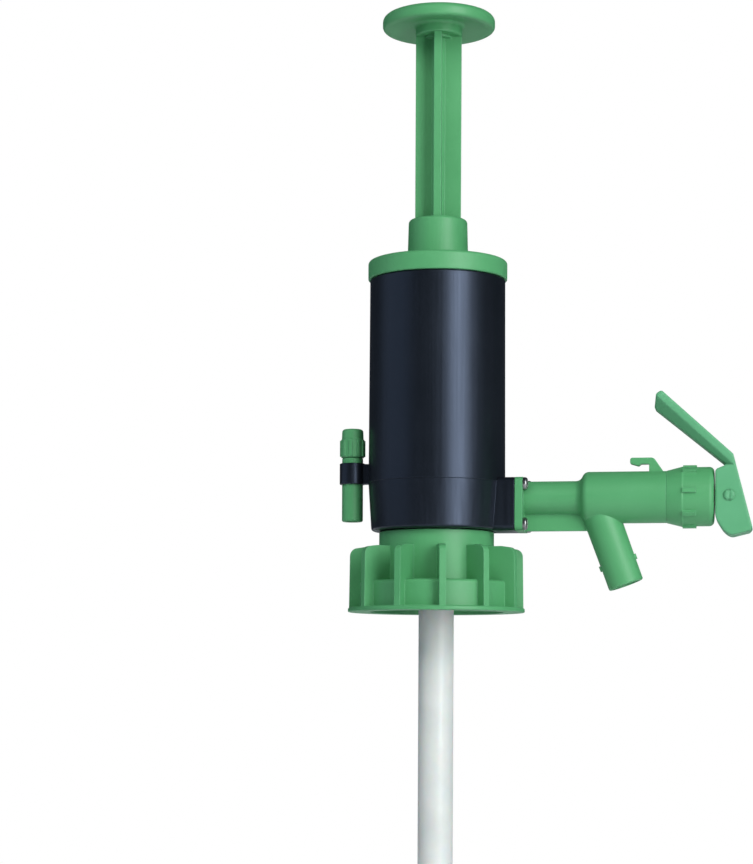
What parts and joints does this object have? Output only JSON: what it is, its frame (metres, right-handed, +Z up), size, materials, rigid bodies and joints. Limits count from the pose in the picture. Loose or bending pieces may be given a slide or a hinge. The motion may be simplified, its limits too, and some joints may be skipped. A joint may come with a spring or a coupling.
{
  "type": "hand pressure pump",
  "caption": "Hand pressure pump for a liquid canister: ribbed union nut, air cylinder with plunger, relief valve, dip tube, and outlet arm with lever valve and spout.",
  "frame": {"origin": "on the pump axis, in the plane where the rim of the canister neck meets the neck gasket", "axes": "+Z up the pump axis towards the handle, +X out along the outlet arm towards its lever"},
  "size_m": [0.1867, 0.0804, 0.5623],
  "materials": {
    "green_plastic": "satin",
    "black_plastic": "satin",
    "natural_plastic": "satin",
    "rubber": "matte",
    "steel": "satin"
  },
  "bodies": {
    "pump_body": {"neck_stub": "black_plastic", "neck_gasket": "rubber", "dip_tube": "natural_plastic", "dip_tube_seal": "rubber", "lower_housing": "black_plastic", "valve_plate": "black_plastic", "plate_o_ring": "rubber", "check_cage": "natural_plastic", "check_spring": "steel", "pump_cylinder": "black_plastic", "cylinder_cap": "green_plastic", "outlet_arm": "green_plastic", "flange_gasket": "rubber", "flange_screws": "steel", "valve_bonnet": "black_plastic", "bonnet_o_ring": "rubber", "stem_o_ring": "rubber", "valve_collar": "green_plastic", "valve_spring": "steel", "relief_body": "green_plastic"},
    "union_nut": {"union_nut": "green_plastic"},
    "plunger": {"plunger_handle": "green_plastic", "plunger_rod": "green_plastic", "piston_plate": "natural_plastic", "cup_seal": "rubber", "piston_screw": "steel"},
    "check_disc": {"check_disc": "rubber"},
    "valve_stem": {"valve_stem": "natural_plastic", "valve_plug": "rubber", "stem_clip": "steel"},
    "lever": {"lever": "green_plastic", "lever_pin": "green_plastic"},
    "relief_stem": {"relief_stem": "natural_plastic", "relief_seal": "rubber", "relief_o_ring": "rubber", "relief_spring": "steel"},
    "relief_knob": {"relief_knob": "green_plastic"}
  },
  "joints": [
    {"name": "nut_spin", "type": "hinge", "parent": "pump_body", "child": "union_nut", "pos_m": [0, 0, 0], "axis": [0, 0, 1], "continuous": true},
    {"name": "plunger_stroke", "type": "slide", "parent": "pump_body", "child": "plunger", "axis": [0, 0, 1], "range_m": [-0.082, 0]},
    {"name": "check_lift", "type": "slide", "parent": "pump_body", "child": "check_disc", "axis": [0, 0, 1], "range_m": [-0.0015, 0], "stiffness_N_per_m": 60, "springref_m": 0.001, "deforming": ["check_spring"]},
    {"name": "stem_pull", "type": "slide", "parent": "pump_body", "child": "valve_stem", "axis": [1, 0, 0], "range_m": [0, 0.004], "deforming": ["valve_spring"]},
    {"name": "lever_press", "type": "hinge", "parent": "valve_stem", "child": "lever", "pos_m": [0.1317, 0, 0.0431], "axis": [0, -1, 0], "range_deg": [0, 24], "stiffness_Nm_per_rad": 0.15, "springref_deg": -28.65},
    {"name": "relief_lift", "type": "slide", "parent": "pump_body", "child": "relief_stem", "axis": [0, 0, 1], "range_m": [0, 0.0015]},
    {"name": "relief_turn", "type": "hinge", "parent": "relief_stem", "child": "relief_knob", "pos_m": [-0.039, 0, 0.06], "axis": [0, 0, 1], "range_deg": [0, 360]}
  ],
  "couplings": [
    {"joint": "stem_pull", "follows": "lever_press", "m_per_rad": 0.0094},
    {"joint": "relief_turn", "follows": "relief_lift", "rad_per_m": 4188.8}
  ]
}
